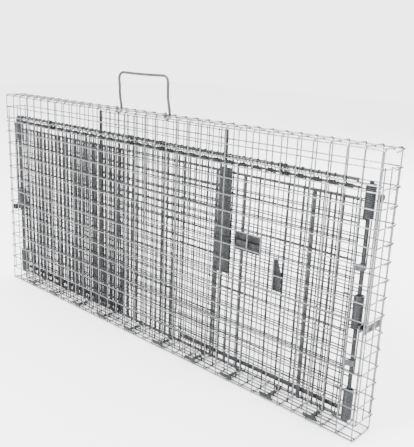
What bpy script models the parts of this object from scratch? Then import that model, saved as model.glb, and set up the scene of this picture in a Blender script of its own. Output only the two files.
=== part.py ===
"""Folding live catch trap of welded wire mesh, folded flat and standing on its long edge.

The tray is a shallow mesh box: back sheet, top, bottom and end strips, and a short skirt
in front. Its front is closed by a cover sheet that two folding struts carry straight out.
The roof panel hangs from the skirt and lifts as the cover leaves; the floor panel stands on
the cover's lower edge and drops inwards. Two sprung end doors lie flat under the roof.
X runs along the trap, the cover faces -Y, and the carry handle is on top.
"""
import math

import bmesh
import bpy
from mathutils import Vector
from mathutils.geometry import tessellate_polygon

# Driving dimensions, in metres.
PITCH = 0.0254                    # mesh pitch
LENGTH = 34 * PITCH
HEIGHT = 16 * PITCH
DEPTH = 2 * PITCH
SHEET = 0.004                     # two crossed wires
BAR = 0.003                       # width of a lattice bar
GAP = 0.0003                      # clearance between touching pieces
HALF = LENGTH / 2
FRONT = -DEPTH / 2
BACK = DEPTH / 2

# Planes of the folded panels, by the middle of their thickness.
COVER_Y = FRONT + SHEET / 2
ROOF_Y = -0.0145
DOOR_Y = -0.0085
TREADLE_Y = -0.0002
FLOOR_Y = 0.0095
DIVIDER_Y = 0.0165
BACK_Y = BACK - SHEET / 2

# The fold: the skirt is two cells tall and the cover takes the rest of the front.
SKIRT_Z = HEIGHT - 2 * PITCH
COVER_Z = (0.0005, SKIRT_Z - 0.0016)
ROOF_AXIS_Z = SKIRT_Z - 0.0036
FLOOR_AXIS_Z = 0.0090
ROOF_HALF = 0.399
ROOF_DROP = 0.3460                # roof panel, hinge axis to free edge
FLOOR_RISE = 0.3400

# Struts in the end planes. Two links of equal length make a straight-line fold.
STRUT_LINK = 7 * PITCH
STRUT_Y = -0.0080
STRUT_Z = 0.1650
LINK_EYE_R = 0.0050
LINK_WIDTH = 0.0040               # shank between the eyes
LINK_THICK = 0.0025
PIN_R = 0.0025
PIN_HOLE_R = 0.0028
INNER_LINK_X = 0.4227             # side nearer the middle of the trap
OUTER_LINK_X = 0.4199
COVER_PLATE_X = 0.4181
TRAY_PLATE_X = 0.4255
PLATE_HALF = 0.0050               # half the height of the plates that carry the links

# Door hinges and their springs.
DOOR_X = 0.4080
DOOR_REACH = 0.3350
DOOR_Z = (0.0160, 0.3620)
DOOR_MESH_Z = (0.0200, 0.3380)
ROD_R = 0.0030
SPRING_R = 0.0075
SPRING_LENGTH = 0.0500
SPRING_TOPS = (0.3600, 0.2090, 0.0700)

# Sheet-metal hinge clips.
CLIP_THICK = 0.0012
CLIP_WIDTH = 0.0200
ROOF_CLIP_WIDTH = 0.0090
CLIP_CURL_R = 0.0036

# Carry handle.
HANDLE_X = -0.0330
HANDLE_WIDTH = 0.1220
HANDLE_TOP = HEIGHT + 0.0640
HANDLE_R = 0.00225
HANDLE_AXIS_Z = HEIGHT - SHEET / 2

# Divider stored against the back sheet.
DIVIDER_X = (-0.1680, 0.1445)
DIVIDER_Z = (0.0060, 0.3950)
DIVIDER_ROD_R = 0.0024

# Trigger on the outside of the roof.
TRIGGER_Y = -0.0192
TRIGGER_Z = 0.2360
TRIGGER_ROD_R = 0.0010
TRIGGER_ROD_X = (0.1500, 0.2710)
GUIDE_X = (0.1990, 0.2490)
LEVER_PIVOT = (0.2810, TRIGGER_Y, 0.1980)
CHANNEL_X = (0.1640, 0.1870)
CHANNEL_Z = (0.1800, 0.3440)
CHANNEL_THICK = 0.0008
GUIDE_THICK = 0.0007
LEVER_THICK = 0.0014

# Treadle on the floor.
TREADLE_HALF = 0.0620
TREADLE_Z = (0.0700, 0.2500)
TREADLE_THICK = 0.0012

# Tabs that hold the door rods, and the heads of the pivot pins.
BRACKET_Z = {"top": 0.2460, "bottom": 0.1080}
BRACKET_THICK = 0.0020
BRACKET_MARGIN = 0.0055
TRAY_PLATE_THICK = 0.0020
COVER_EAR_THICK = 0.0015
PIN_HEAD_R = 0.0045
PIN_HEAD = 0.0010

STEEL = (0.60, 0.61, 0.62, 1.0)
DARK_STEEL = (0.38, 0.39, 0.40, 1.0)

PLANES = {                        # axis normal to a flat piece: how (u, v, n) becomes (x, y, z)
    "x": lambda u, v, n: Vector((n, u, v)),
    "y": lambda u, v, n: Vector((u, n, v)),
    "z": lambda u, v, n: Vector((u, v, n)),
}


def clear_scene():
    for obj in list(bpy.data.objects):
        bpy.data.objects.remove(obj, do_unlink=True)


def steel(name, colour, roughness):
    material = bpy.data.materials.new(name)
    material.use_nodes = True
    shader = material.node_tree.nodes["Principled BSDF"]
    shader.inputs["Base Color"].default_value = colour
    shader.inputs["Metallic"].default_value = 0.9
    shader.inputs["Roughness"].default_value = roughness
    return material


def add_object(name, bm, pivot=(0, 0, 0), colour=STEEL, roughness=0.4, smooth=False):
    """Turn a mesh built in trap coordinates into an object whose origin is the pivot."""
    pivot = Vector(pivot)
    bmesh.ops.translate(bm, verts=bm.verts, vec=-pivot)
    bmesh.ops.recalc_face_normals(bm, faces=bm.faces)
    mesh = bpy.data.meshes.new(name)
    bm.to_mesh(mesh)
    bm.free()
    if smooth:
        mesh.shade_smooth()
        mesh.set_sharp_from_angle(angle=math.radians(35))
    mesh.materials.append(steel(name + "_finish", colour, roughness))
    obj = bpy.data.objects.new(name, mesh)
    obj.location = pivot
    bpy.context.scene.collection.objects.link(obj)
    return obj


def lattice(name, plane, u_range, v_range, level, cells, thickness=SHEET, bar=BAR, **looks):
    """A flat grille of crossed bars, one solid, in the plane normal to an axis."""
    def edges(low, high, count):
        step = (high - low - bar) / count
        lines = []
        for i in range(count + 1):
            lines += [low + i * step, low + i * step + bar]
        return lines

    us = edges(*u_range, cells[0])
    vs = edges(*v_range, cells[1])
    place = PLANES[plane]
    sides = (level - thickness / 2, level + thickness / 2)
    bm = bmesh.new()
    made = {}

    def vert(i, j, side):
        key = (i, j, side)
        if key not in made:
            made[key] = bm.verts.new(place(us[i], vs[j], sides[side]))
        return made[key]

    def solid(i, j):
        inside = 0 <= i < len(us) - 1 and 0 <= j < len(vs) - 1
        return inside and (i % 2 == 0 or j % 2 == 0)

    for i in range(len(us) - 1):
        for j in range(len(vs) - 1):
            if not solid(i, j):
                continue
            corners = ((i, j), (i + 1, j), (i + 1, j + 1), (i, j + 1))
            for side in (0, 1):
                bm.faces.new([vert(a, b, side) for a, b in corners])
            neighbours = ((i, j - 1), (i + 1, j), (i, j + 1), (i - 1, j))
            for k, neighbour in enumerate(neighbours):
                if not solid(*neighbour):
                    a, b = corners[k], corners[(k + 1) % 4]
                    bm.faces.new([vert(*a, 0), vert(*b, 0), vert(*b, 1), vert(*a, 1)])
    return add_object(name, bm, **looks)


def prism(name, plane, outline, holes, low, high, **looks):
    """A flat plate with holes: outlines in (u, v), standing from low to high along its normal."""
    place = PLANES[plane]
    loops = [outline] + holes
    points = [point for loop in loops for point in loop]
    bm = bmesh.new()
    layers = [[bm.verts.new(place(u, v, level)) for u, v in points] for level in (low, high)]
    flat = [[Vector((u, v, 0)) for u, v in loop] for loop in loops]
    for triangle in tessellate_polygon(flat):
        for layer in layers:
            bm.faces.new([layer[i] for i in triangle])
    start = 0
    for loop in loops:
        for i in range(len(loop)):
            a, b = start + i, start + (i + 1) % len(loop)
            bm.faces.new([layers[0][a], layers[0][b], layers[1][b], layers[1][a]])
        start += len(loop)
    return add_object(name, bm, **looks)


def circle(u, v, radius, sides=12):
    turns = [2 * math.pi * i / sides for i in range(sides)]
    return [(u + radius * math.cos(t), v + radius * math.sin(t)) for t in turns]


def arc(u, v, radius, start, end, steps):
    turns = [math.radians(start + (end - start) * i / steps) for i in range(steps + 1)]
    return [(u + radius * math.cos(t), v + radius * math.sin(t)) for t in turns]


def eyed_bar(u, low, high, eye, width, steps=8):
    """Outline of a bar that stands along v and widens to a round eye at low and at high."""
    neck = math.degrees(math.asin(width / 2 / eye))
    foot = arc(u, low, eye, 90 + neck, 450 - neck, steps)
    return foot + arc(u, high, eye, neck - 90, 270 - neck, steps)


def bent_strip(name, path, thickness, x_range, **looks):
    """Sheet metal bent along a path in (y, z) and as wide as its x range."""
    sides = ([], [])
    for i, (y, z) in enumerate(path):
        before = path[max(i - 1, 0)]
        after = path[min(i + 1, len(path) - 1)]
        along = Vector((after[0] - before[0], after[1] - before[1])).normalized()
        for side, sign in zip(sides, (-1, 1)):
            side.append((y - sign * along.y * thickness / 2, z + sign * along.x * thickness / 2))
    outline = sides[0] + sides[1][::-1]
    return prism(name, "x", outline, [], x_range[0], x_range[1], **looks)


def turned(name, axis, centre, profile, sides=12, **looks):
    """A closed lathe shape: the profile's (along, radius) pairs spun about an axis."""
    place = {"x": lambda s, a, b: (centre[0] + s, centre[1] + a, centre[2] + b),
             "z": lambda s, a, b: (centre[0] + a, centre[1] + b, centre[2] + s)}[axis]
    bm = bmesh.new()
    rings = []
    for along, radius in profile:
        ring = [bm.verts.new(place(along, a, b)) for a, b in circle(0, 0, radius, sides)]
        rings.append(ring)
    closed = len(profile) > 3 and profile[0] == profile[-1]
    if closed:
        for vertex in rings.pop():
            bm.verts.remove(vertex)
    count = len(rings)
    for i in range(count if closed else count - 1):
        lower, upper = rings[i], rings[(i + 1) % count]
        for k in range(sides):
            n = (k + 1) % sides
            bm.faces.new([lower[k], lower[n], upper[n], upper[k]])
    if not closed:
        bm.faces.new(rings[0][::-1])
        bm.faces.new(rings[-1])
    return add_object(name, bm, smooth=True, **looks)


def swept_wire(name, points, radius, sides=8, **looks):
    """A round wire along a path, with flat ends and a frame carried without twist."""
    points = [Vector(p) for p in points]
    bm = bmesh.new()
    rings = []
    normal = None
    for i, point in enumerate(points):
        along = (points[min(i + 1, len(points) - 1)] - points[max(i - 1, 0)]).normalized()
        if normal is None:
            normal = along.orthogonal().normalized()
        normal = (normal - along * normal.dot(along)).normalized()
        across = along.cross(normal)
        rings.append([bm.verts.new(point + normal * a + across * b)
                      for a, b in circle(0, 0, radius, sides)])
    for lower, upper in zip(rings, rings[1:]):
        for k in range(sides):
            n = (k + 1) % sides
            bm.faces.new([lower[k], lower[n], upper[n], upper[k]])
    bm.faces.new(rings[0][::-1])
    bm.faces.new(rings[-1])
    return add_object(name, bm, smooth=True, **looks)


def clip_centres(count, half):
    """Middles of the cells between the cross bars of a panel."""
    step = 2 * half / count
    return [-half + (i + 0.5) * step for i in range(count)]


def make_tray():
    inner = DEPTH / 2 - SHEET - GAP
    below_top = HEIGHT - SHEET - GAP
    lattice("back_sheet", "y", (-HALF, HALF), (0, below_top), BACK_Y, (10, 5))
    lattice("top_strip", "z", (-HALF, HALF), (FRONT, BACK), HEIGHT - SHEET / 2, (10, 2))
    lattice("bottom_strip", "z", (-HALF, HALF), (-0.0190, inner), SHEET / 2, (10, 1))
    lattice("front_skirt", "y", (-HALF, HALF), (SKIRT_Z, below_top), COVER_Y, (10, 1))
    for side, sign in (("left", -1), ("right", 1)):
        lattice("end_strip_" + side, "x", (-inner, inner), (SHEET + GAP, below_top),
                sign * (HALF - SHEET / 2), (1, 5))


def make_divider():
    low, high = DIVIDER_X
    clear = DIVIDER_ROD_R + GAP
    lattice("divider_mesh", "y", (low + clear, high - clear), DIVIDER_Z, DIVIDER_Y, (4, 5),
            thickness=0.0032)
    length = DIVIDER_Z[1] - DIVIDER_Z[0]
    for side, x in (("left", low), ("right", high)):
        turned("divider_rod_" + side, "z", (x, DIVIDER_Y, DIVIDER_Z[0]),
               [(0, DIVIDER_ROD_R), (length, DIVIDER_ROD_R)], colour=DARK_STEEL)


def make_roof_clips():
    """Clips on the skirt whose curls carry the roof's top bar."""
    top = SKIRT_Z + 0.018
    plate_y = FRONT + SHEET + GAP + CLIP_THICK / 2
    curl_y = ROOF_Y - CLIP_CURL_R
    path = [(plate_y, top), (plate_y, SKIRT_Z + 0.004), (curl_y, ROOF_AXIS_Z + 0.002)]
    path += arc(ROOF_Y, ROOF_AXIS_Z, CLIP_CURL_R, 180, 460, 9)
    centres = clip_centres(10, ROOF_HALF)
    for number, cell in enumerate((1, 4, 5, 8), 1):
        x = centres[cell]
        bent_strip("roof_clip_%d" % number, path, CLIP_THICK,
                   (x - ROOF_CLIP_WIDTH / 2, x + ROOF_CLIP_WIDTH / 2), roughness=0.35)


def make_handle():
    """Bail of thick wire whose feet curl round the middle wire of the top strip."""
    curl = HANDLE_R + 0.0034
    corner = 0.012
    left = HANDLE_X - HANDLE_WIDTH / 2
    right = HANDLE_X + HANDLE_WIDTH / 2
    foot = [(y, z) for y, z in arc(0, HANDLE_AXIS_Z, curl, -230, 0, 10)]
    points = [(left, y, z) for y, z in foot]
    points.append((left, curl * 0.6, HANDLE_AXIS_Z + 0.016))
    top = HANDLE_TOP - HANDLE_R
    points += [(x, 0, z) for x, z in arc(left + corner, top - corner, corner, 180, 90, 4)]
    points += [(x, 0, z) for x, z in arc(right - corner, top - corner, corner, 90, 0, 4)]
    points.append((right, curl * 0.6, HANDLE_AXIS_Z + 0.016))
    points += [(right, y, z) for y, z in foot[::-1]]
    swept_wire("carry_handle", points, HANDLE_R, pivot=(HANDLE_X, 0, HANDLE_AXIS_Z), roughness=0.3)


def cover_pivot():
    """Point on the left strut's end where the cover turns."""
    return (-OUTER_LINK_X, STRUT_Y, STRUT_Z)


def make_cover():
    pivot = cover_pivot()
    lattice("cover_sheet", "y", (-HALF, HALF), COVER_Z, COVER_Y, (10, 5), pivot=pivot)
    bottom = FLOOR_AXIS_Z - CLIP_CURL_R
    start = FRONT + SHEET + GAP
    path = [(start, bottom), (FLOOR_Y - 0.006, bottom)]
    path += arc(FLOOR_Y, FLOOR_AXIS_Z, CLIP_CURL_R, -90, 200, 9)
    for number, x in enumerate(clip_centres(10, ROOF_HALF), 1):
        bent_strip("floor_clip_%02d" % number, path, CLIP_THICK,
                   (x - CLIP_WIDTH / 2, x + CLIP_WIDTH / 2), pivot=pivot, roughness=0.35)


def make_roof():
    pivot = (0, ROOF_Y, ROOF_AXIS_Z)
    top = ROOF_AXIS_Z + BAR / 2
    lattice("roof_panel", "y", (-ROOF_HALF, ROOF_HALF), (top - ROOF_DROP, top), ROOF_Y, (10, 4),
            pivot=pivot)


def make_floor():
    pivot = (0, FLOOR_Y, FLOOR_AXIS_Z)
    bottom = FLOOR_AXIS_Z - BAR / 2
    lattice("floor_panel", "y", (-ROOF_HALF, ROOF_HALF), (bottom, bottom + FLOOR_RISE), FLOOR_Y,
            (10, 4), pivot=pivot)
    outline = [(-TREADLE_HALF, TREADLE_Z[0]), (TREADLE_HALF, TREADLE_Z[0]),
               (TREADLE_HALF, TREADLE_Z[1]), (-TREADLE_HALF, TREADLE_Z[1])]
    prism("treadle_plate", "y", outline, [], TREADLE_Y - TREADLE_THICK / 2,
          TREADLE_Y + TREADLE_THICK / 2,
          pivot=(0, TREADLE_Y, TREADLE_Z[0]), roughness=0.45)


def make_doors():
    """Two end doors on sprung rods, lying flat under the roof panel."""
    for side, sign in (("left", -1), ("right", 1)):
        hinge = (sign * DOOR_X, DOOR_Y, DOOR_Z[0])
        far = sign * (DOOR_X - DOOR_REACH)
        near = sign * (ROOF_HALF - 0.0008)
        lattice("door_%s_mesh" % side, "y", (min(far, near), max(far, near)),
                DOOR_MESH_Z, DOOR_Y, (4, 4), pivot=hinge)
        turned("door_%s_rod" % side, "z", hinge, [(0, ROD_R), (DOOR_Z[1] - DOOR_Z[0], ROD_R)],
               pivot=hinge, colour=DARK_STEEL)
        for number, top in enumerate(SPRING_TOPS, 1):
            bore = ROD_R + GAP
            ring = [(0, bore), (0, SPRING_R), (SPRING_LENGTH, SPRING_R), (SPRING_LENGTH, bore)]
            turned("door_%s_spring_%d" % (side, number), "z",
                   (hinge[0], hinge[1], top - SPRING_LENGTH), ring + ring[:1],
                   pivot=(0, ROOF_Y, ROOF_AXIS_Z), colour=DARK_STEEL)
        for end, z in BRACKET_Z.items():
            make_rod_bracket("rod_bracket_%s_%s" % (side, end), sign, z)


def make_rod_bracket(name, sign, z):
    """A tab on the end of the roof panel, with a hole for the door rod."""
    reach = sign * (ROOF_HALF + GAP)
    tip = sign * (DOOR_X + BRACKET_MARGIN)
    outline = [(reach, ROOF_Y - 0.002), (tip, ROOF_Y - 0.002), (tip, DOOR_Y + BRACKET_MARGIN),
               (reach, DOOR_Y + BRACKET_MARGIN)]
    hole = circle(sign * DOOR_X, DOOR_Y, ROD_R + GAP)
    prism(name, "z", outline, [hole], z, z + BRACKET_THICK, pivot=(0, ROOF_Y, ROOF_AXIS_Z))


def make_strut(side, sign):
    """Two links, their three pins, and the plates that tie them to the tray and the cover."""
    tray_joint = (sign * INNER_LINK_X, STRUT_Y, STRUT_Z)
    elbow = (sign * OUTER_LINK_X, STRUT_Y, STRUT_Z + STRUT_LINK)
    cover_joint = (sign * OUTER_LINK_X, STRUT_Y, STRUT_Z)
    cover_body = cover_pivot()
    bar = eyed_bar(STRUT_Y, STRUT_Z, STRUT_Z + STRUT_LINK, LINK_EYE_R, LINK_WIDTH)
    foot_hole = circle(STRUT_Y, STRUT_Z, PIN_HOLE_R)
    elbow_hole = circle(STRUT_Y, STRUT_Z + STRUT_LINK, PIN_HOLE_R)

    def span(inboard, thickness):
        return sorted((sign * inboard, sign * (inboard + thickness)))

    prism("strut_inner_" + side, "x", bar, [foot_hole, elbow_hole],
          *span(INNER_LINK_X, LINK_THICK), pivot=tray_joint)
    prism("strut_outer_" + side, "x", bar, [foot_hole, elbow_hole],
          *span(OUTER_LINK_X, LINK_THICK), pivot=elbow)

    edge = DEPTH / 2 - SHEET - GAP
    low, high = STRUT_Z - PLATE_HALF, STRUT_Z + PLATE_HALF
    plate = [(-edge, low), (edge, low), (edge, high), (-edge, high)]
    prism("strut_plate_" + side, "x", plate, [foot_hole], *span(TRAY_PLATE_X, TRAY_PLATE_THICK))
    ear = [(-edge, low), (STRUT_Y, low)]
    ear += arc(STRUT_Y, STRUT_Z, PLATE_HALF, -60, 60, 4)
    ear += [(STRUT_Y, high), (-edge, high)]
    prism("cover_ear_" + side, "x", ear, [foot_hole], *span(COVER_PLATE_X, COVER_EAR_THICK),
          pivot=cover_body)

    def pin(name, inboard, outboard, height, head, pivot):
        profile = [(sign * inboard, PIN_R), (sign * outboard, PIN_R)]
        if head == "out":
            profile += [(sign * outboard, PIN_HEAD_R), (sign * (outboard + PIN_HEAD), PIN_HEAD_R)]
        if head == "in":
            profile = [(sign * (inboard - PIN_HEAD), PIN_HEAD_R), (sign * inboard, PIN_HEAD_R)] + profile
        turned(name, "x", (0, STRUT_Y, height), profile, pivot=pivot, colour=DARK_STEEL)

    pin("tray_pin_" + side, INNER_LINK_X + 0.0001, TRAY_PLATE_X + 0.0018, STRUT_Z, "", (0, 0, 0))
    pin("elbow_pin_" + side, OUTER_LINK_X + 0.0002, INNER_LINK_X + LINK_THICK + GAP,
        STRUT_Z + STRUT_LINK, "out", tray_joint)
    pin("cover_pin_" + side, COVER_PLATE_X - GAP, OUTER_LINK_X + LINK_THICK - 0.0002, STRUT_Z,
        "in", cover_joint if sign < 0 else cover_body)


def make_trigger():
    """Release rod in a hat-shaped guide on the roof, its backing strip and the lever."""
    roof = (0, ROOF_Y, ROOF_AXIS_Z)
    low = ROOF_Y - SHEET / 2 - GAP - GUIDE_THICK / 2
    high = TRIGGER_Y - TRIGGER_ROD_R - GAP - GUIDE_THICK / 2
    hat = [(low, -0.014), (low, -0.0036), (high, -0.0030), (high, 0.0030), (low, 0.0036),
           (low, 0.014)]
    bent_strip("trigger_guide", [(y, TRIGGER_Z + z) for y, z in hat], GUIDE_THICK, GUIDE_X,
               pivot=roof, colour=DARK_STEEL)
    start, end = TRIGGER_ROD_X
    turned("trigger_rod", "x", (start, TRIGGER_Y, TRIGGER_Z),
           [(0, TRIGGER_ROD_R), (end - start, TRIGGER_ROD_R)], sides=8,
           pivot=(start, TRIGGER_Y, TRIGGER_Z), colour=DARK_STEEL)
    front = ROOF_Y - SHEET / 2 - GAP
    (left, right), (low, high) = CHANNEL_X, CHANNEL_Z
    strip = [(left, low), (right, low), (right, high), (left, high)]
    prism("trigger_channel", "y", strip, [], front - CHANNEL_THICK, front, pivot=roof,
          colour=DARK_STEEL)
    x, y, z = LEVER_PIVOT
    outline = [(x - 0.006, z - 0.020), (x + 0.007, z - 0.020), (x + 0.007, z + 0.008),
               (x - 0.001, z + 0.030), (x - 0.006, z + 0.030)]
    prism("trigger_lever", "y", outline, [], y - LEVER_THICK / 2, y + LEVER_THICK / 2, pivot=LEVER_PIVOT,
          colour=DARK_STEEL)


def make_trap():
    clear_scene()
    make_tray()
    make_divider()
    make_roof_clips()
    make_handle()
    make_cover()
    make_roof()
    make_floor()
    make_doors()
    make_strut("left", -1)
    make_strut("right", 1)
    make_trigger()


make_trap()
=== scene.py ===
"""Looks of the folding live catch trap: real welded mesh, coil springs, clips and light."""
import math
import random

import bpy
from mathutils import Matrix, Vector


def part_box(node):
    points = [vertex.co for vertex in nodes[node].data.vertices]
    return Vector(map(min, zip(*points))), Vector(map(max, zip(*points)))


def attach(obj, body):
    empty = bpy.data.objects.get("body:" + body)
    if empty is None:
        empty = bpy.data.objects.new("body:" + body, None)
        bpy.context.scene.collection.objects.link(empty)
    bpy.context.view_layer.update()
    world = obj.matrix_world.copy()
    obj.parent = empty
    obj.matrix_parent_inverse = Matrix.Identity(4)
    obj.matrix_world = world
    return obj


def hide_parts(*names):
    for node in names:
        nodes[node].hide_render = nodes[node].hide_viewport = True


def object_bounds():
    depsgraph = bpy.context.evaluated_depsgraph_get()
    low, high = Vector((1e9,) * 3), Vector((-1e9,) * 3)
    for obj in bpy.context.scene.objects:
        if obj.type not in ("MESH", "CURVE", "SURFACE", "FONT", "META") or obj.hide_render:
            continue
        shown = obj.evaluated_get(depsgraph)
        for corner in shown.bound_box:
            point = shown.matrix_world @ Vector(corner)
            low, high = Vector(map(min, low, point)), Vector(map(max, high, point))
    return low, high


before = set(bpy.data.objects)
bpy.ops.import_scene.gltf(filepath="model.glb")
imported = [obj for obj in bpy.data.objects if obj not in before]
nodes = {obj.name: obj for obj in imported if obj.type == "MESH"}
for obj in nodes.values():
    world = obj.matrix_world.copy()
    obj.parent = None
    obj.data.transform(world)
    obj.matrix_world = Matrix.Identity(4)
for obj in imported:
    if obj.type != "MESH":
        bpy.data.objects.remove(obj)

cad_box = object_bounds()

# Sizes in metres.
PITCH = 0.0254
WIRE_R = 0.00100                  # 2 mm welded wire
PRESS = 0.0016                    # distance between the axes of two welded wires
EDGE = 0.0040                     # stub beyond the last crossing
BEND_R = 0.0034                   # bend of the sheet at the tray's long edges
HALF_PITCH = PITCH / 2            # closer spacing of wires in the inner panels
WAVE = 0.00035                    # how far a wire wanders from straight
KNUCKLE = 0.0090                  # length of a rolled wire end on the roof's top bar
STRAP = 0.0010                    # thickness of sheet clips, loops and stiffeners
STIFFENERS = ((0.026, 0.0045), (0.046, 0.0035), (0.070, 0.0060), (0.138, 0.0020),
              (0.190, 0.0045), (0.246, 0.0055))   # distance from a door's outer edge, width
SPRING_WIRE = 0.0011
SPRING_TURNS = 20
TURN_SIDES = 14                   # points in one turn of a spring
LOOP_R = 0.0040                   # bracket's loop round a door rod
SHANK_R = 0.0025                  # rivet
HANDLE_R = 0.00225
HANDLE_BEND = 0.011

HALF = cad_box[1].x
FRONT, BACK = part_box("cover_sheet")[0].y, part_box("back_sheet")[1].y
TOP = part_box("top_strip")[1].z


class Shape:
    """Vertices and faces of one piece, gathered wire by wire."""

    def __init__(self):
        self.verts = []
        self.faces = []
        self.weld_faces = set()

    def ring_run(self, rings):
        """Join rings of points into a closed skin with a face at each end."""
        start = len(self.verts)
        sides = len(rings[0])
        for ring in rings:
            self.verts.extend(ring)
        for i in range(len(rings) - 1):
            low = start + i * sides
            for k in range(sides):
                n = (k + 1) % sides
                self.faces.append((low + k, low + n, low + sides + n, low + sides + k))
        last = start + (len(rings) - 1) * sides
        self.faces.append(tuple(range(start + sides - 1, start - 1, -1)))
        self.faces.append(tuple(range(last, last + sides)))

    def tube(self, points, radius, sides=8):
        """A round wire through the points, its ends slightly rounded over."""
        points = [Vector(p) for p in points]
        count = len(points)
        normal = None
        rings = []
        for i, point in enumerate(points):
            along = points[min(i + 1, count - 1)] - points[max(i - 1, 0)]
            along.normalize()
            if normal is None:
                normal = along.orthogonal().normalized()
            normal = normal - along * normal.dot(along)
            normal.normalize()
            across = along.cross(normal)
            circle = []
            for k in range(sides):
                turn = 2 * math.pi * k / sides
                circle.append(normal * math.cos(turn) + across * math.sin(turn))
            if i == 0:
                rings.append([point - along * radius * 0.4 + c * radius * 0.6 for c in circle])
            rings.append([point + c * radius for c in circle])
            if i == count - 1:
                rings.append([point + along * radius * 0.4 + c * radius * 0.6 for c in circle])
        self.ring_run(rings)

    def weld(self, centre, radius, normal):
        """The flattened bead where two wires are welded."""
        normal = Vector(normal).normalized()
        side = normal.orthogonal().normalized()
        across = normal.cross(side)
        rings = []
        for lift, width in ((-1.0, 0.35), (-0.55, 0.9), (0.0, 1.1), (0.55, 0.9), (1.0, 0.35)):
            ring = []
            for k in range(6):
                turn = math.pi * k / 3
                out = side * math.cos(turn) + across * math.sin(turn)
                ring.append(centre + normal * radius * lift + out * radius * width)
            rings.append(ring)
        first = len(self.faces)
        self.ring_run(rings)
        self.weld_faces.update(range(first, len(self.faces)))

    def strip(self, path, thickness, width_axis, width):
        """Sheet metal bent along a path, with the given width across it."""
        path = [Vector(p) for p in path]
        wide = Vector(width_axis) * width / 2
        rings = []
        for i, point in enumerate(path):
            along = (path[min(i + 1, len(path) - 1)] - path[max(i - 1, 0)]).normalized()
            face = along.cross(Vector(width_axis)).normalized() * thickness / 2
            bevel = thickness * 0.25
            inner = wide * (1 - bevel / (width / 2))
            rings.append([point + face + inner, point + face * 0.5 + wide,
                          point - face * 0.5 + wide, point - face + inner,
                          point - face - inner, point - face * 0.5 - wide,
                          point + face * 0.5 - wide, point + face - inner])
        self.ring_run(rings)

    def lathe(self, centre, axis, profile, sides=24):
        """A turned piece: (along, radius) pairs about an axis through a point."""
        axis = Vector(axis).normalized()
        side = axis.orthogonal().normalized()
        across = axis.cross(side)
        rings = []
        for along, radius in profile:
            ring = []
            for k in range(sides):
                turn = 2 * math.pi * k / sides
                out = side * math.cos(turn) + across * math.sin(turn)
                ring.append(Vector(centre) + axis * along + out * radius)
            rings.append(ring)
        self.ring_run(rings)

    def piece(self, name, body, slot, material, replaces=(), sharp=40):
        """Make the object, ride it on its body and let it stand for its CAD nodes."""
        mesh = bpy.data.meshes.new(name)
        mesh.from_pydata([tuple(v) for v in self.verts], [], self.faces)
        mesh.update()
        mesh.shade_smooth()
        mesh.set_sharp_from_angle(angle=math.radians(sharp))
        obj = bpy.data.objects.new(name, mesh)
        bpy.context.scene.collection.objects.link(obj)
        mesh.materials.append(material)
        if self.weld_faces:
            # Welds on the inner panels take the weld colour in painted shade.
            mesh.materials.append(shaded_inner_weld if material is shaded_inner_zinc else weld_zinc)
            for number in self.weld_faces:
                mesh.polygons[number].material_index = 1
        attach(obj, body)
        if replaces:
            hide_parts(*replaces)


# ---------------------------------------------------------------- materials

def shader_of(material):
    return material.node_tree.nodes["Principled BSDF"]


def zinc(name, dark, light, roughness, spangle=900.0, grime=0.25, bump=0.15):
    """Galvanised steel: mottled zinc, dull patches and a little grime, with a fine bump."""
    material = bpy.data.materials.new(name)
    material.use_nodes = True
    tree = material.node_tree
    link = tree.links.new
    shader = shader_of(material)
    shader.inputs["Metallic"].default_value = 0.85
    place = tree.nodes.new("ShaderNodeTexCoord")

    def noise(scale, detail):
        node = tree.nodes.new("ShaderNodeTexNoise")
        node.inputs["Scale"].default_value = scale
        node.inputs["Detail"].default_value = detail
        link(place.outputs["Object"], node.inputs["Vector"])
        return node

    def ramp(source, low, high, first, second):
        node = tree.nodes.new("ShaderNodeValToRGB")
        node.color_ramp.elements[0].position = low
        node.color_ramp.elements[1].position = high
        node.color_ramp.elements[0].color = (*first, 1)
        node.color_ramp.elements[1].color = (*second, 1)
        link(source, node.inputs["Fac"])
        return node

    flakes = tree.nodes.new("ShaderNodeTexVoronoi")
    flakes.inputs["Scale"].default_value = spangle
    link(place.outputs["Object"], flakes.inputs["Vector"])
    base = ramp(flakes.outputs["Distance"], 0.0, 0.7, light, dark)
    patches = noise(60.0, 4.0)
    soil = ramp(patches.outputs["Fac"], 0.42, 0.72, (1, 1, 1), (1 - grime,) * 3)
    mix = tree.nodes.new("ShaderNodeMix")
    mix.data_type = "RGBA"
    mix.blend_type = "MULTIPLY"
    mix.inputs["Factor"].default_value = 1.0
    link(base.outputs["Color"], mix.inputs[6])
    link(soil.outputs["Color"], mix.inputs[7])
    link(mix.outputs[2], shader.inputs["Base Color"])
    rough = tree.nodes.new("ShaderNodeMapRange")
    rough.inputs["To Min"].default_value = roughness - 0.08
    rough.inputs["To Max"].default_value = roughness + 0.15
    link(patches.outputs["Fac"], rough.inputs["Value"])
    link(rough.outputs["Result"], shader.inputs["Roughness"])
    fine = noise(2500.0, 2.0)
    relief = tree.nodes.new("ShaderNodeBump")
    relief.inputs["Strength"].default_value = bump
    relief.inputs["Distance"].default_value = 0.0002
    link(fine.outputs["Fac"], relief.inputs["Height"])
    link(relief.outputs["Normal"], shader.inputs["Normal"])
    return material


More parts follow.
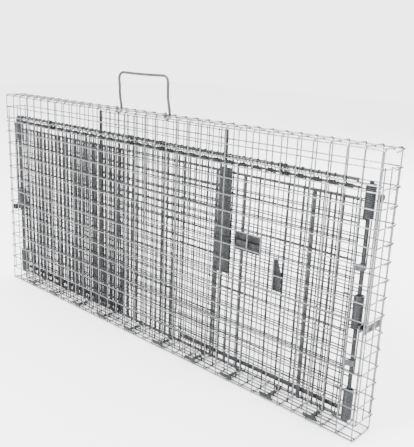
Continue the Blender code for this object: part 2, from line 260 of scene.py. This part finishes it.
mesh_zinc = zinc("mesh_zinc", (0.090, 0.092, 0.095), (0.320, 0.325, 0.335), 0.24)
# A darker copy of the front mesh zinc for the roof, floor, divider, doors, treadle and hangers folded
# inside the trap: painted shade of the interior, not a different finish.
shaded_inner_zinc = zinc("shaded_inner_zinc", (0.020, 0.021, 0.022), (0.070, 0.071, 0.073), 0.34)
weld_zinc = zinc("weld_zinc", (0.010, 0.010, 0.011), (0.030, 0.031, 0.032), 0.50)
# Welds of the inner panels: dark weld beads, set in the same painted shade as the inner zinc.
shaded_inner_weld = zinc("shaded_inner_weld", (0.020, 0.020, 0.021), (0.055, 0.056, 0.057), 0.45)
rod_zinc = zinc("rod_zinc", (0.020, 0.021, 0.022), (0.060, 0.061, 0.063), 0.38, grime=0.35)
spring_zinc = zinc("spring_zinc", (0.032, 0.034, 0.036), (0.100, 0.104, 0.109), 0.30, grime=0.3)
sheet_zinc = zinc("sheet_zinc", (0.055, 0.057, 0.059), (0.130, 0.133, 0.137), 0.40, spangle=420.0)
dark_zinc = zinc("dark_zinc", (0.016, 0.017, 0.018), (0.048, 0.050, 0.052), 0.42, spangle=420.0)
handle_zinc = zinc("handle_zinc", (0.040, 0.041, 0.043), (0.100, 0.102, 0.105), 0.28)


# ---------------------------------------------------------------- welded mesh

def spaced(low, high, count):
    """Even steps from low to high, both included."""
    return [low + (high - low) * i / count for i in range(count + 1)]


def pitched(low, high, pitch=PITCH, shift=0.0):
    """Lines on the common pitch between two edge wires."""
    margin = pitch * 0.3
    first = math.ceil((low + margin - shift) / pitch)
    last = math.floor((high - margin - shift) / pitch)
    return [low] + [shift + pitch * i for i in range(first, last + 1)] + [high]


def steps(start, end, size=PITCH):
    """Points from start to end, about a mesh pitch apart."""
    count = max(1, round((end - start).length / size))
    return [start.lerp(end, i / count) for i in range(count + 1)]


def wander(points, rng, amount, along_axis):
    """Slightly uneven wire: a slow wave, different on every wire."""
    phases = [rng.uniform(0, 2 * math.pi) for _ in range(4)]
    rates = [rng.uniform(9, 16) for _ in range(4)]
    moved = []
    for point in points:
        s = point[along_axis]
        shift = Vector((0, 0, 0))
        for axis in range(3):
            if axis != along_axis:
                wave = math.sin(rates[axis] * s + phases[axis])
                wave += 0.5 * math.sin(2.7 * rates[axis - 1] * s + phases[3])
                shift[axis] = amount * wave
        moved.append(point + shift)
    return moved


def curl(y, z, radius, start, end, count=14):
    """Arc round a centre in a plane, its ends given in degrees."""
    turns = [math.radians(start + (end - start) * i / count) for i in range(count + 1)]
    return [(y + radius * math.cos(t), z + radius * math.sin(t)) for t in turns]


def sheet_bend(y, z, start, end):
    """Bend of the sheet at a long edge of the tray."""
    return curl(y, z, BEND_R, start, end, 4)


def flat_mesh(axes, u_lines, v_lines, level, wire=WIRE_R, u_side=-1, seed=1, welds=True,
              stub=EDGE, amount=WAVE):
    """A flat welded sheet. axes = (u, v, n) axis numbers; the u wires lie on side u_side."""
    u_axis, v_axis, n_axis = axes
    rng = random.Random(seed)
    shape = Shape()
    press = PRESS * wire / WIRE_R / 2

    def at(u, v, n):
        point = Vector((0, 0, 0))
        point[u_axis], point[v_axis], point[n_axis] = u, v, n
        return point

    for v in v_lines:
        jitter = rng.uniform(-1, 1) * amount
        reach = rng.uniform(0.6, 1.0) * stub
        start = at(u_lines[0] - reach, v + jitter, level + u_side * press)
        end = at(u_lines[-1] + reach, v + jitter, level + u_side * press)
        shape.tube(wander(steps(start, end), rng, amount, u_axis), wire)
    for u in u_lines:
        jitter = rng.uniform(-1, 1) * amount
        reach = rng.uniform(0.6, 1.0) * stub
        start = at(u + jitter, v_lines[0] - reach, level - u_side * press)
        end = at(u + jitter, v_lines[-1] + reach, level - u_side * press)
        shape.tube(wander(steps(start, end), rng, amount, v_axis), wire)
    if welds:
        for u in u_lines:
            for v in v_lines:
                size = wire * rng.uniform(1.15, 1.45)
                shape.weld(at(u, v, level), size, at(0, 0, 1))
    return shape


COLUMNS = spaced(-HALF + EDGE, HALF - EDGE, 34)
ROWS = spaced(WIRE_R * 1.2, TOP - WIRE_R * 1.2, 16)


def make_tray():
    """One sheet bent into a shallow tray: bottom, back, top and the short skirt in front."""
    rng = random.Random(11)
    shape = Shape()
    depth = WIRE_R + 0.0002
    back, front = BACK - depth, FRONT + depth
    top, bottom = TOP - depth, depth
    skirt_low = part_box("front_skirt")[0].z
    strip_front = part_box("bottom_strip")[0].y
    profile = [(strip_front, bottom)]
    profile += [(y, bottom) for y in (-0.006, 0.006)]
    profile += sheet_bend(back - BEND_R, bottom + BEND_R, -90, 0)
    profile += [(back, z) for z in spaced(bottom + BEND_R, top - BEND_R, 15)[1:-1]]
    profile += sheet_bend(back - BEND_R, top - BEND_R, 0, 90)
    profile += [(y, top) for y in (0.006, -0.006)]
    profile += sheet_bend(front + BEND_R, top - BEND_R, 90, 180)
    profile += [(front, z) for z in (top - PITCH, skirt_low + 0.004, skirt_low)]
    for x in COLUMNS:
        jitter = rng.uniform(-1, 1) * WAVE
        phase = rng.uniform(0, 6)
        points = []
        for y, z in profile:
            sway = WAVE * math.sin(14 * z + phase)
            points.append(Vector((x + jitter + sway, y, z)))
        shape.tube(points, WIRE_R)

    inside = PRESS
    lines = [(back - inside, z) for z in ROWS[1:-1]]
    lines += [(back - BEND_R * 0.3 - inside * 0.7, bottom + BEND_R * 0.3 + inside * 0.7),
              (back - BEND_R * 0.3 - inside * 0.7, top - BEND_R * 0.3 - inside * 0.7),
              (0.0, top - inside), (strip_front + 0.002, bottom + inside), (0.001, bottom + inside),
              (front + BEND_R * 0.3 + inside * 0.7, top - BEND_R * 0.3 - inside * 0.7),
              (front + inside, ROWS[15]), (front + inside, skirt_low + 0.0035)]
    for y, z in lines:
        left = Vector((COLUMNS[0] - EDGE * rng.uniform(0.6, 1), y, z))
        right = Vector((COLUMNS[-1] + EDGE * 0.4, y, z))
        points = wander(steps(left, right), rng, WAVE, 0)
        if y > 0.01 and z > PITCH / 2:
            points += [right + Vector((0.0030, -0.0015, 0)), right + Vector((0.0022, -0.0060, -0.002)),
                       right + Vector((-0.0035, -0.0085, -0.005))]
        shape.tube(points, WIRE_R)
        for x in COLUMNS:
            normal = Vector((0, y, z - TOP / 2)) if abs(y) > 0.01 else Vector((0, 0, 1))
            if abs(y) > 0.01 and PITCH / 2 < z < TOP - PITCH / 2:
                normal = Vector((0, 1, 0))
            push = normal.normalized() * inside / 2
            if abs(y) <= 0.01:
                push = Vector((0, 0, inside / 2 if z > TOP / 2 else -inside / 2))
            elif y < 0:
                push = Vector((0, -inside / 2, 0))
            shape.weld(Vector((x, y, z)) + push, WIRE_R * rng.uniform(1.15, 1.45), normal)
    shape.piece("tray_mesh", "tray", "mesh_wire", mesh_zinc,
                ("back_sheet", "top_strip", "bottom_strip", "front_skirt"))


def make_ends():
    """The narrow mesh at each end of the tray."""
    for side, sign, seed in (("left", -1, 21), ("right", 1, 22)):
        low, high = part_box("end_strip_" + side)
        level = (low.x + high.x) / 2
        ys = spaced(low.y + 0.002, high.y - 0.002, 2)
        rows = [z for z in ROWS if low.z < z < high.z]
        shape = flat_mesh((1, 2, 0), ys, rows, level, u_side=sign, seed=seed, stub=0.002)
        shape.piece("end_mesh_" + side, "tray", "mesh_wire", mesh_zinc, ("end_strip_" + side,))


def make_divider():
    """The divider stored against the back sheet, with its two rods."""
    low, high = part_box("divider_mesh")
    columns = pitched(low.x + 0.002, high.x - 0.002, HALF_PITCH)
    rows = pitched(low.z + 0.002, high.z - 0.002, HALF_PITCH)
    shape = flat_mesh((0, 2, 1), columns, rows, (low.y + high.y) / 2, seed=31, stub=0.002,
                      wire=0.0007)
    shape.piece("divider_wires", "tray", "mesh_wire", shaded_inner_zinc, ("divider_mesh",))
    for side in ("left", "right"):
        rod("divider_rod_" + side, "tray", 2)


def rod(node, body, axis, material=rod_zinc):
    """A round rod in place of a faceted one, with chamfered ends."""
    low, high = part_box(node)
    centre = (low + high) / 2
    length = high[axis] - low[axis]
    radius = (high[axis - 1] - low[axis - 1]) / 2
    start = centre.copy()
    start[axis] = low[axis]
    direction = Vector((0, 0, 0))
    direction[axis] = 1
    chamfer = min(radius * 0.3, length * 0.2)
    shape = Shape()
    shape.lathe(start, direction, [(0, radius - chamfer), (chamfer, radius),
                                   (length - chamfer, radius), (length, radius - chamfer)])
    shape.piece(node + "_round", body, "rod_steel", material, (node,))


def make_cover():
    """The front sheet of the folded trap."""
    low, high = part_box("cover_sheet")
    level = (low.y + high.y) / 2 - WAVE       # clear of the trigger guide behind it
    stub = 0.0035
    rows = [z for z in ROWS if z < high.z - 2 * stub]
    rows[0] = low.z + stub
    rows.append(high.z - stub)
    shape = flat_mesh((0, 2, 1), COLUMNS, rows, level, seed=41, stub=stub)
    shape.piece("cover_mesh", "cover", "mesh_wire", mesh_zinc, ("cover_sheet",))


def make_clips():
    """Bent sheet clips: ten under the cover's lower edge."""
    floor_low, floor_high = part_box("floor_panel")
    axis_y, axis_z = (floor_low.y + floor_high.y) / 2, floor_low.z + 0.0015
    for number in range(1, 11):
        node = "floor_clip_%02d" % number
        low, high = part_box(node)
        x = (low.x + high.x) / 2
        run_z = low.z + 0.0006
        lip = [(FRONT + 0.0006, 0.0125), (FRONT + 0.0006, run_z + 0.0030)]
        lip += [(FRONT + 0.0010, run_z + 0.0012), (FRONT + 0.0022, run_z), (FRONT + 0.0050, run_z)]
        tongue = [(FRONT + 0.0045, run_z), (axis_y - 0.006, run_z)]
        tongue += curl(axis_y, axis_z, 0.0036, -90, 200)
        shape = Shape()
        shape.strip([(x, y, z) for y, z in lip], STRAP, (1, 0, 0), 0.0230)
        shape.strip([(x, y, z) for y, z in tongue], STRAP, (1, 0, 0), 0.0070)
        shape.piece(node + "_bent", "cover", "sheet_steel", dark_zinc, (node,))


def ring(shape, x, bottom, top, wire):
    """Closed oblong ring of wire in the plane x, round two bars at bottom and top (y, z)."""
    low, high = Vector((x, *bottom)), Vector((x, *top))
    along = (high - low).normalized()
    across = along.cross(Vector((1, 0, 0)))
    reach = 0.0030
    points = []
    for centre, start in ((high, 0), (low, math.pi)):
        for i in range(9):
            turn = start + math.pi * i / 8
            points.append(centre + across * reach * math.cos(turn) + along * reach * math.sin(turn))
    points.append(points[0] + Vector((wire * 1.2, 0, 0)))
    shape.tube(points, wire, sides=8)


def make_roof_hangers():
    """Double rail behind the skirt; rings on it carry the roof's top bar, four of them heavier."""
    roof_low, roof_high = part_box("roof_panel")
    bar = ((roof_low.y + roof_high.y) / 2, roof_high.z - 0.0015)
    rail = (FRONT + 0.0046, bar[1] + 0.0110)
    rng = random.Random(81)
    shape = Shape()
    for lift in (-0.0013, 0.0013):
        start = Vector((roof_low.x + 0.003, rail[0], rail[1] + lift))
        end = Vector((roof_high.x - 0.003, rail[0], rail[1] + lift))
        shape.tube(wander(steps(start, end), rng, WAVE / 2, 0), 0.0012)
    for x in pitched(roof_low.x + 0.010, roof_high.x - 0.010, PITCH / 2, PITCH / 4)[1:-1]:
        ring(shape, x + rng.uniform(-1, 1) * 0.0006, bar, rail, 0.0008)
    shape.piece("roof_hangers", "tray", "rod_steel", shaded_inner_zinc)
    for number in range(1, 5):
        node = "roof_clip_%d" % number
        low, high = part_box(node)
        shape = Shape()
        for side in (-0.0030, 0.0030):
            ring(shape, (low.x + high.x) / 2 + side, bar, rail, 0.0012)
        shape.piece(node + "_rings", "tray", "sheet_steel", rod_zinc, (node,))


def dense_left(low, high, shift):
    """Columns at half the pitch up to the right divider rod, and at the full pitch beyond it."""
    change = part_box("divider_rod_right")[0].x
    return pitched(low, change, HALF_PITCH, shift)[:-1] + pitched(change, high, PITCH, shift)


def make_knuckles(low, high, level, axis_z):
    """The ends of the roof's wires, rolled round its top bar at every cell clear of a clip."""
    shape = Shape()
    clips = [sum(corner.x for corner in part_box("roof_clip_%d" % n)) / 2 for n in range(1, 5)]
    clear = KNUCKLE / 2 + 0.0060
    for x in pitched(low.x + 0.004, high.x - 0.004)[1:-1]:
        if min(abs(x - clip) for clip in clips) < clear:
            continue
        shape.lathe((x - KNUCKLE / 2, level, axis_z), (1, 0, 0),
                    [(0, 0.0020), (0.0003, 0.0030), (KNUCKLE - 0.0003, 0.0030), (KNUCKLE, 0.0020)],
                    sides=12)
    shape.piece("roof_knuckles", "roof", "rod_steel", dark_zinc)


def make_panels():
    """Roof and floor."""
    low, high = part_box("roof_panel")
    columns = dense_left(low.x + 0.002, high.x - 0.002, PITCH / 3)
    rows = pitched(low.z + 0.0015, high.z - 0.0015)
    level = (low.y + high.y) / 2
    shape = flat_mesh((0, 2, 1), columns, rows, level, seed=51, stub=0.002)
    shape.tube([(low.x + 0.001, level, rows[-1]), (high.x - 0.001, level, rows[-1])], 0.0019, sides=12)
    shape.piece("roof_mesh", "roof", "mesh_wire", shaded_inner_zinc, ("roof_panel",))
    make_knuckles(low, high, level, rows[-1])
    low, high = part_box("floor_panel")
    columns = dense_left(low.x + 0.002, high.x - 0.002, 0.0)
    rows = pitched(low.z + 0.0015, high.z - 0.0015)
    shape = flat_mesh((0, 2, 1), columns, rows, (low.y + high.y) / 2, seed=52, stub=0.002,
                      u_side=1)
    shape.piece("floor_mesh", "floor", "mesh_wire", shaded_inner_zinc, ("floor_panel",))


def make_treadle():
    """Half-inch mesh in a frame of thicker wire."""
    low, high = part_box("treadle_plate")
    y = (low.y + high.y) / 2
    inset = 0.0015
    columns = spaced(low.x + inset, high.x - inset, 9)
    rows = spaced(low.z + inset, high.z - inset, 14)
    shape = flat_mesh((0, 2, 1), columns, rows, y, wire=0.0006, seed=61, stub=0.001,
                      welds=False)
    rim = [(low.x + inset, y, low.z + inset), (high.x - inset, y, low.z + inset),
           (high.x - inset, y, high.z - inset), (low.x + inset, y, high.z - inset)]
    for a, b in zip(rim, rim[1:] + rim[:1]):
        shape.tube([a, b], 0.0010, sides=10)
    shape.piece("treadle_mesh", "treadle", "sheet_steel", shaded_inner_zinc, ("treadle_plate",))


def make_doors():
    """Two end doors: mesh, upright stiffeners, a bottom bar, a rod and three torsion springs each."""
    for side, sign, seed in (("left", -1, 71), ("right", 1, 72)):
        node = "door_%s_mesh" % side
        low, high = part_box(node)
        level = (low.y + high.y) / 2
        pitch = PITCH if side == "right" else PITCH / 4
        columns = pitched(low.x + 0.002, high.x - 0.002, pitch, PITCH / 8)
        rows = pitched(low.z + 0.002, high.z - 0.002)
        shape = flat_mesh((0, 2, 1), columns, rows, level, seed=seed, stub=0.002)
        outer = high.x if sign > 0 else low.x
        for inward, width in STIFFENERS:
            x = outer - sign * inward
            path = [(x, level - 0.0026, z) for z in spaced(low.z, high.z, 8)]
            shape.strip(path, STRAP, (1, 0, 0), width)
        path = [(x, level + 0.0026, low.z + 0.012) for x in (low.x + 0.003, high.x - 0.003)]
        shape.strip(path, STRAP, (0, 0, 1), 0.0060)
        shape.piece("door_%s_wires" % side, "door_" + side, "mesh_wire", shaded_inner_zinc, (node,))
        rod("door_%s_rod" % side, "door_" + side, 2)
        for number in (1, 2, 3):
            make_spring("door_%s_spring_%d" % (side, number), sign)


def make_spring(node, sign):
    """Close-wound torsion spring with one leg on the roof panel and one towards the door."""
    low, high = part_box(node)
    centre = (low + high) / 2
    wire = SPRING_WIRE
    radius = (high.x - low.x) / 2 - wire
    length = high.z - low.z - 0.004
    points = [Vector((centre.x - sign * 0.020, centre.y - radius * 0.85, low.z + 0.002)),
              Vector((centre.x - sign * 0.008, centre.y - radius * 0.98, low.z + 0.002))]
    for i in range(SPRING_TURNS * TURN_SIDES + 1):
        turn = -math.pi / 2 - sign * 2 * math.pi * i / TURN_SIDES
        z = low.z + 0.002 + length * i / (SPRING_TURNS * TURN_SIDES)
        points.append(Vector((centre.x + radius * math.cos(turn),
                              centre.y + radius * math.sin(turn), z)))
    points.append(points[-1] + Vector((-sign * 0.010, -0.0002, 0.0004)))
    points.append(points[-1] + Vector((-sign * 0.008, 0.0004, 0.0002)))
    shape = Shape()
    shape.tube(points, wire, sides=8)
    if low.z > 0.1:
        bottom = Vector((centre.x + sign * (radius - wire), centre.y, low.z + 0.0030))
        lower = [bottom + Vector((-sign * 0.006, -0.004, 0.0005)), bottom,
                 bottom - Vector((0, 0, 0.006))]
        lower.append(bottom - Vector((sign * 0.0008, 0, 0.068)))
        shape.tube(lower, wire, sides=8)
    shape.piece(node + "_coil", "roof", "rod_steel", spring_zinc, (node,), sharp=80)


def make_brackets():
    """Strips that loop round the door rods and clinch on the roof panel's end wire."""
    for side, sign in (("left", -1), ("right", 1)):
        low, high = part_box("door_%s_rod" % side)
        x, y = (low.x + high.x) / 2, (low.y + high.y) / 2
        roof_y = (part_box("roof_panel")[0].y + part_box("roof_panel")[1].y) / 2
        for end in ("top", "bottom"):
            node = "rod_bracket_%s_%s" % (side, end)
            z = (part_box(node)[0].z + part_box(node)[1].z) / 2
            turns = [math.radians(200 - 290 * i / 14) for i in range(15)]
            loop = [(x - sign * LOOP_R * math.cos(t + math.pi), y + LOOP_R * math.sin(t))
                    for t in turns]
            edge = sign * (abs(x) - 0.0095)
            path = [(a, b, z) for a, b in loop]
            path.append((x - sign * 0.0045, roof_y + 0.0010, z))
            path.append((edge, roof_y - 0.0026, z))
            shape = Shape()
            shape.strip(path, STRAP, (0, 0, 1), 0.0090)
            shape.piece(node + "_loop", "roof", "sheet_steel", sheet_zinc, (node,))


def make_links():
    """Folding links of drawn wire with a round eye at each end."""
    for side in ("left", "right"):
        for part in ("inner", "outer"):
            node = "strut_%s_%s" % (part, side)
            low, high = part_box(node)
            centre = (low + high) / 2
            wire = (high.x - low.x) / 2 - 0.0001
            eye = (high.y - low.y) / 2
            shape = Shape()
            shape.tube([(centre.x, centre.y, low.z + 2 * eye - wire),
                        (centre.x, centre.y, high.z - 2 * eye + wire)], wire, sides=12)
            for z in (low.z + eye, high.z - eye):
                loop = [(centre.x, centre.y + (eye - wire) * math.sin(2 * math.pi * i / 20),
                         z + (eye - wire) * math.cos(2 * math.pi * i / 20)) for i in range(21)]
                shape.tube(loop, wire, sides=10)
            shape.piece(node + "_wire", "strut_%s_%s" % (part, side), "sheet_steel", dark_zinc, (node,),
                        sharp=80)


def make_rivets():
    """The pins of the links, some with a domed head."""
    for side in ("left", "right"):
        for node, body in (("tray_pin_", "tray"), ("elbow_pin_", "strut_inner_" + side),
                           ("cover_pin_", "cover")):
            low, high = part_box(node + side)
            centre = (low + high) / 2
            outward = -1 if side == "left" else 1
            headed = high.z - low.z > 0.006
            start = high.x if outward < 0 else low.x
            if node == "cover_pin_":
                start, outward = (low.x if outward < 0 else high.x), -outward
            length = high.x - low.x
            profile = [(0, SHANK_R * 0.8), (0.0003, SHANK_R), (length - 0.0012, SHANK_R)]
            if headed:
                profile += [(length - 0.0010, 0.0043), (length - 0.0006, 0.0041),
                            (length - 0.0002, 0.0028), (length, 0.0010)]
            else:
                profile += [(length - 0.0003, SHANK_R), (length, SHANK_R * 0.8)]
            shape = Shape()
            shape.lathe((start, centre.y, centre.z), (outward, 0, 0), profile)
            shape.piece(node + side + "_rivet", body, "rod_steel", rod_zinc, (node + side,))


def make_handle():
    """Bail of thick wire, a little bent by use, its feet curled round the strip's middle wire."""
    low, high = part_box("carry_handle")
    radius = HANDLE_R
    curl_r = radius + 0.0034
    pivot_z = TOP - 0.0020
    left, right = low.x + radius, high.x - radius
    top = high.z - radius
    bend = HANDLE_BEND
    foot = curl(0, pivot_z, curl_r, -230, 0, 18)
    points = [Vector((left, y, z)) for y, z in foot]
    points += [Vector((left, curl_r * 0.75, pivot_z + 0.010)),
               Vector((left, curl_r * 0.4, pivot_z + 0.020))]
    for share, sway in ((0.45, 0.0006), (0.65, 0.0004)):
        points.append(Vector((left + sway, 0.0008, pivot_z + (top - pivot_z) * share)))
    points += [Vector((x, 0, z)) for x, z in curl(left + bend, top - bend, bend, 180, 90, 7)]
    for share in (0.3, 0.5, 0.7):
        dip = -0.0007 * math.sin(math.pi * share)
        points.append(Vector((left + (right - left) * share, 0, top + dip)))
    points += [Vector((x, 0, z)) for x, z in curl(right - bend, top - bend, bend, 90, 0, 7)]
    for share, sway in ((0.65, -0.0008), (0.45, -0.0005)):
        points.append(Vector((right + sway, 0.0008, pivot_z + (top - pivot_z) * share)))
    points += [Vector((right, curl_r * 0.4, pivot_z + 0.020)),
               Vector((right, curl_r * 0.75, pivot_z + 0.010))]
    points += [Vector((right, y, z)) for y, z in foot[::-1]]
    shape = Shape()
    shape.tube(points, radius, sides=16)
    shape.piece("carry_handle_wire", "handle", "handle_wire", handle_zinc, ("carry_handle",), sharp=80)


def finish_cad_nodes():
    """The flat steel pieces keep their solids and take the zinc finish."""
    kept = {"sheet_zinc": ["strut_plate_left", "strut_plate_right", "cover_ear_left",
                           "cover_ear_right"],
            "dark_zinc": ["trigger_guide", "trigger_lever", "trigger_channel"]}
    for material, names in kept.items():
        for name in names:
            obj = nodes[name]
            obj.data.materials.clear()
            obj.data.materials.append(bpy.data.materials[material])
    rod("trigger_rod", "trigger_rod", 0)


# ---------------------------------------------------------------- stage

def make_stage():
    """Pale floor, white surroundings and three soft lamps."""
    size = 6.0
    mesh = bpy.data.meshes.new("studio_floor")
    mesh.from_pydata([(-size, -size, 0), (size, -size, 0), (size, size, 0), (-size, size, 0)], [],
                     [(0, 1, 2, 3)])
    floor = bpy.data.objects.new("studio_floor", mesh)
    floor.location.z = -0.0005
    bpy.context.scene.collection.objects.link(floor)
    paper = bpy.data.materials.new("pale_paper")
    paper.use_nodes = True
    shader = shader_of(paper)
    shader.inputs["Base Color"].default_value = (0.92, 0.92, 0.92, 1)
    shader.inputs["Roughness"].default_value = 0.9
    mesh.materials.append(paper)

    world = bpy.data.worlds.new("studio")
    world.use_nodes = True
    background = world.node_tree.nodes["Background"]
    background.inputs["Color"].default_value = (1, 1, 1, 1)
    background.inputs["Strength"].default_value = 4.0
    bpy.context.scene.world = world

    for name, place, size, power in (("key", (-0.6, -2.2, 2.2), 1.2, 220),
                                     ("fill", (2.2, -1.2, 1.4), 1.2, 90),
                                     ("rim", (0.3, 2.0, 1.8), 1.2, 100)):
        light = bpy.data.lights.new(name, "AREA")
        light.size = size
        light.energy = power
        lamp = bpy.data.objects.new(name, light)
        lamp.location = place
        aim = Vector((0, 0, TOP / 2)) - lamp.location
        lamp.rotation_euler = aim.to_track_quat("-Z", "Y").to_euler()
        bpy.context.scene.collection.objects.link(lamp)


def make_camera():
    """From the right, a little above, with a slight tilt of the horizon."""
    data = bpy.data.cameras.new("camera")
    data.lens = 50.4
    camera = bpy.data.objects.new("camera", data)
    turn = Matrix.Rotation(math.radians(41.92), 4, "Z")
    tip = Matrix.Rotation(math.radians(90 - 15.7), 4, "X")
    roll = Matrix.Rotation(math.radians(2.3), 4, "Z")
    camera.matrix_world = Matrix.Translation((0.7717, -0.7208, 0.5147)) @ turn @ tip @ roll
    bpy.context.scene.collection.objects.link(camera)
    bpy.context.scene.camera = camera


make_camera()
make_stage()
make_tray()
make_ends()
make_divider()
make_cover()
make_clips()
make_roof_hangers()
make_panels()
make_treadle()
make_doors()
make_brackets()
make_links()
make_rivets()
make_handle()
finish_cad_nodes()
